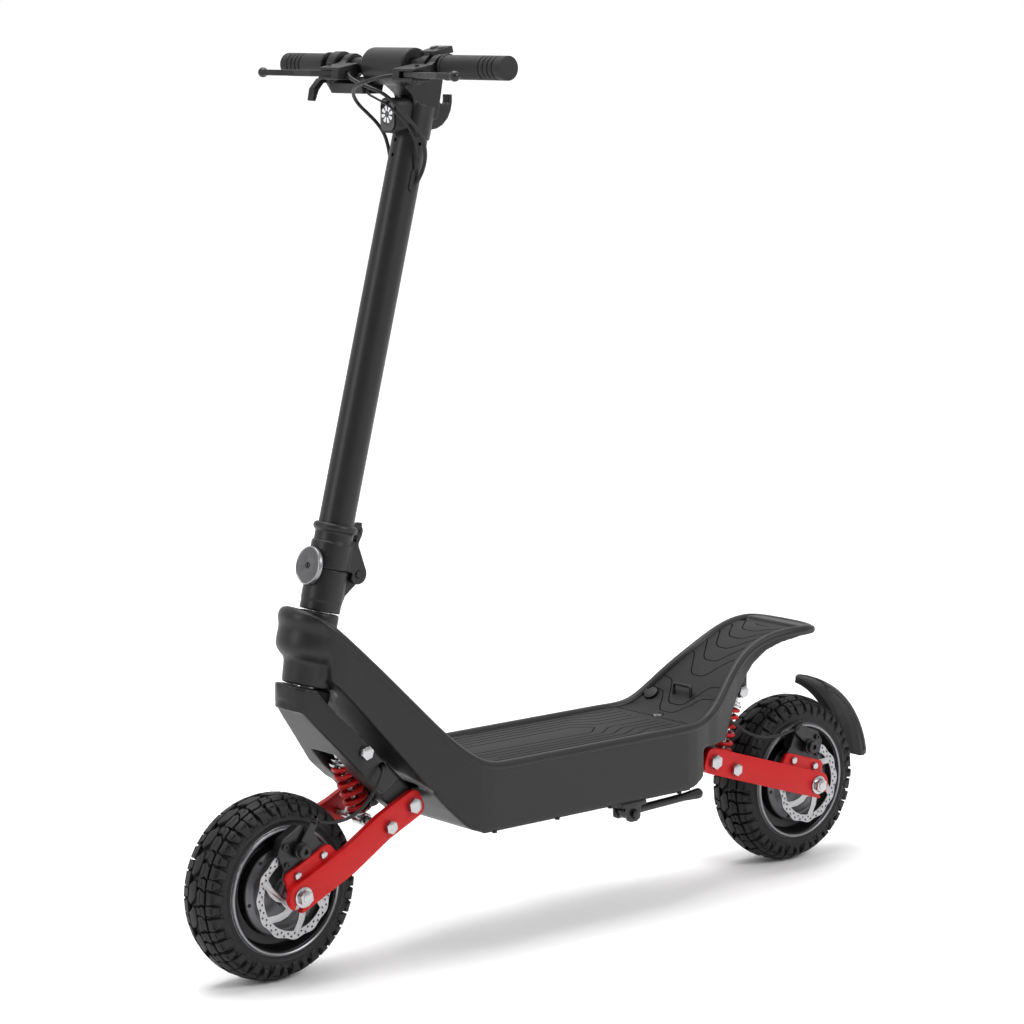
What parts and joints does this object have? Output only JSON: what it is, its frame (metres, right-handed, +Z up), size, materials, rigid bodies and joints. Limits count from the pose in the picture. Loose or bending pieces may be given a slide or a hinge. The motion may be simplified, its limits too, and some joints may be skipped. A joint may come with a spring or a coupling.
{
  "type": "electric kick scooter",
  "caption": "Electric kick scooter with suspended swing arms, off-road tyres, disc brakes, raised kickplate and a folding stem.",
  "frame": {"origin": "on the ground at the centre of the whole scooter's box, under the deck", "axes": "+X forward, towards the front wheel; +Y to the rider's left; +Z up"},
  "size_m": [1.2585, 0.47, 1.2407],
  "materials": {
    "frame_paint": "satin",
    "deck_rubber": "matt",
    "battery_wrap": "matt",
    "alloy": "cast",
    "steel": "polished",
    "dark_steel": "satin",
    "dark_plastic": "matt",
    "cable_rubber": "matt",
    "brushed_alloy": "brushed",
    "lamp_lens": "gloss",
    "grip_rubber": "matt",
    "black_alloy": "satin",
    "button_plastic": "matt",
    "grey_plastic": "matt",
    "red_paint": "gloss",
    "tyre": "matt"
  },
  "bodies": {
    "frame": {"frame_shell": "frame_paint", "foot_mats": "deck_rubber", "belly_cover": "frame_paint", "battery_pack": "battery_wrap", "motor_controller": "alloy", "head_bearings": "steel", "latch_loop": "dark_steel", "charge_socket": "dark_plastic", "kickstand_bracket": "dark_steel", "rear_upper_shock_bolts": "steel", "rear_brake_cable": "cable_rubber"},
    "steering": {"fork": "frame_paint", "steerer": "steel", "fold_base": "frame_paint", "front_upper_shock_bolt": "steel", "front_brake_cable": "cable_rubber"},
    "stem": {"fold_head": "frame_paint", "stem_tube": "frame_paint", "latch_disc": "brushed_alloy", "bar_head": "frame_paint", "headlamp_housing": "dark_plastic", "headlamp_lens": "lamp_lens", "handlebar": "frame_paint", "grips": "grip_rubber", "lever_perches": "dark_plastic", "throttle_body": "dark_plastic", "switch_pod": "dark_plastic", "bag_hook": "frame_paint", "stem_grommets": "cable_rubber", "bar_cables": "cable_rubber"},
    "stem_lock": {"fold_lever": "dark_steel"},
    "left_lever": {"left_brake_lever": "black_alloy"},
    "right_lever": {"right_brake_lever": "black_alloy"},
    "trigger": {"throttle_trigger": "dark_plastic"},
    "horn_key": {"horn_button": "button_plastic"},
    "light_key": {"light_button": "grey_plastic"},
    "front_swing": {"front_arms": "red_paint", "front_fasteners": "steel", "front_caliper": "dark_steel"},
    "front_cam": {"front_caliper_arm": "dark_steel"},
    "front_wheel": {"front_tyre": "tyre", "front_hub_motor": "black_alloy", "front_rotor": "steel"},
    "front_damper": {"front_shock_body": "steel", "front_spring": "red_paint"},
    "front_damper_rod": {"front_shock_rod": "steel"},
    "rear_swing": {"rear_arms": "red_paint", "rear_fasteners": "steel", "rear_caliper": "dark_steel", "rear_fender": "dark_plastic"},
    "rear_cam": {"rear_caliper_arm": "dark_steel"},
    "rear_wheel": {"rear_tyre": "tyre", "rear_hub_motor": "black_alloy", "rear_rotor": "steel"},
    "rear_dampers": {"rear_shock_bodies": "steel", "rear_springs": "red_paint"},
    "rear_damper_rods": {"rear_shock_rods": "steel"},
    "charge_flap": {"charge_cap": "dark_plastic"},
    "key": {"key_switch": "steel"},
    "stand": {"kickstand": "dark_steel"}
  },
  "joints": [
    {"name": "steering_turn", "type": "hinge", "parent": "frame", "child": "steering", "pos_m": [0.5394, 0, 0], "axis": [-0.246, 0, 0.9693], "range_deg": [-45, 45]},
    {"name": "stem_fold", "type": "hinge", "parent": "steering", "child": "stem", "pos_m": [0.3647, 0, 0.53796], "axis": [0, -1, 0], "range_deg": [0, 96]},
    {"name": "stem_lock_swing", "type": "hinge", "parent": "stem", "child": "stem_lock", "pos_m": [0.35053, 0, 0.59379], "axis": [0, 1, 0], "range_deg": [0, 30]},
    {"name": "left_brake", "type": "hinge", "parent": "stem", "child": "left_lever", "pos_m": [0.322, 0.098, 1.203], "axis": [0, 0, 1], "range_deg": [0, 20], "stiffness_Nm_per_rad": 2, "springref_deg": -11.46},
    {"name": "right_brake", "type": "hinge", "parent": "stem", "child": "right_lever", "pos_m": [0.322, -0.09, 1.203], "axis": [0, 0, -1], "range_deg": [0, 20], "stiffness_Nm_per_rad": 2, "springref_deg": -11.46},
    {"name": "throttle_pull", "type": "hinge", "parent": "stem", "child": "trigger", "pos_m": [0.306, -0.12, 1.195], "axis": [0, 1, 0], "range_deg": [0, 25], "stiffness_Nm_per_rad": 0.3, "springref_deg": -11.46},
    {"name": "horn_press", "type": "slide", "parent": "stem", "child": "horn_key", "axis": [-0.2419, 0, -0.9703], "range_m": [0, 0.0012], "stiffness_N_per_m": 600, "springref_m": -0.001},
    {"name": "light_press", "type": "slide", "parent": "stem", "child": "light_key", "axis": [-0.2419, 0, -0.9703], "range_m": [0, 0.0012], "stiffness_N_per_m": 600, "springref_m": -0.001},
    {"name": "front_suspension", "type": "hinge", "parent": "steering", "child": "front_swing", "pos_m": [0.3054, 0, 0.21835], "axis": [0, -1, 0], "range_deg": [0, 12], "stiffness_Nm_per_rad": 600, "springref_deg": -5.73, "deforming": ["front_brake_cable"]},
    {"name": "front_wheel_spin", "type": "hinge", "parent": "front_swing", "child": "front_wheel", "pos_m": [0.50203, 0, 0.1275], "axis": [0, 1, 0], "continuous": true},
    {"name": "front_caliper_pull", "type": "hinge", "parent": "front_swing", "child": "front_cam", "pos_m": [0.49871, 0, 0.18852], "axis": [0, 1, 0], "range_deg": [0, 19]},
    {"name": "front_shock_swing", "type": "hinge", "parent": "steering", "child": "front_damper", "pos_m": [0.387, 0, 0.304], "axis": [0, 1, 0], "range_deg": [-1, 1]},
    {"name": "front_shock_stroke", "type": "slide", "parent": "front_damper", "child": "front_damper_rod", "axis": [0.3511, 0, 0.9363], "range_m": [0, 0.0102], "deforming": ["front_spring"]},
    {"name": "rear_suspension", "type": "hinge", "parent": "frame", "child": "rear_swing", "pos_m": [-0.2634, 0, 0.19263], "axis": [0, 1, 0], "range_deg": [0, 12], "stiffness_Nm_per_rad": 600, "springref_deg": -5.73, "deforming": ["rear_brake_cable"]},
    {"name": "rear_wheel_spin", "type": "hinge", "parent": "rear_swing", "child": "rear_wheel", "pos_m": [-0.46997, 0, 0.1275], "axis": [0, 1, 0], "continuous": true},
    {"name": "rear_caliper_pull", "type": "hinge", "parent": "rear_swing", "child": "rear_cam", "pos_m": [-0.45894, 0, 0.1876], "axis": [0, -1, 0], "range_deg": [0, 19]},
    {"name": "rear_shock_swing", "type": "hinge", "parent": "frame", "child": "rear_dampers", "pos_m": [-0.3385, 0, 0.285], "axis": [0, 1, 0], "range_deg": [-1, 1]},
    {"name": "rear_shock_stroke", "type": "slide", "parent": "rear_dampers", "child": "rear_damper_rods", "axis": [-0.2762, 0, 0.9611], "range_m": [0, 0.0102], "deforming": ["rear_springs"]},
    {"name": "charge_cap_open", "type": "hinge", "parent": "frame", "child": "charge_flap", "pos_m": [-0.24621, -0.071, 0.27969], "axis": [0.788, 0, -0.6157], "range_deg": [0, 100]},
    {"name": "key_turn", "type": "hinge", "parent": "frame", "child": "key", "pos_m": [-0.207, 0, 0.256], "axis": [0, 0, 1], "range_deg": [0, 90]},
    {"name": "kickstand_swing", "type": "hinge", "parent": "frame", "child": "stand", "pos_m": [-0.0746, 0, 0.1504], "axis": [0, -1, 0], "range_deg": [0, 95]}
  ],
  "couplings": [
    {"joint": "front_shock_swing", "follows": "front_suspension", "ratio": -0.0358},
    {"joint": "front_shock_stroke", "follows": "front_suspension", "m_per_rad": 0.0467},
    {"joint": "rear_shock_swing", "follows": "rear_suspension", "ratio": 0.0097},
    {"joint": "rear_shock_stroke", "follows": "rear_suspension", "m_per_rad": 0.0469},
    {"joint": "front_caliper_pull", "follows": "left_brake", "ratio": 0.9},
    {"joint": "rear_caliper_pull", "follows": "right_brake", "ratio": 0.9}
  ]
}
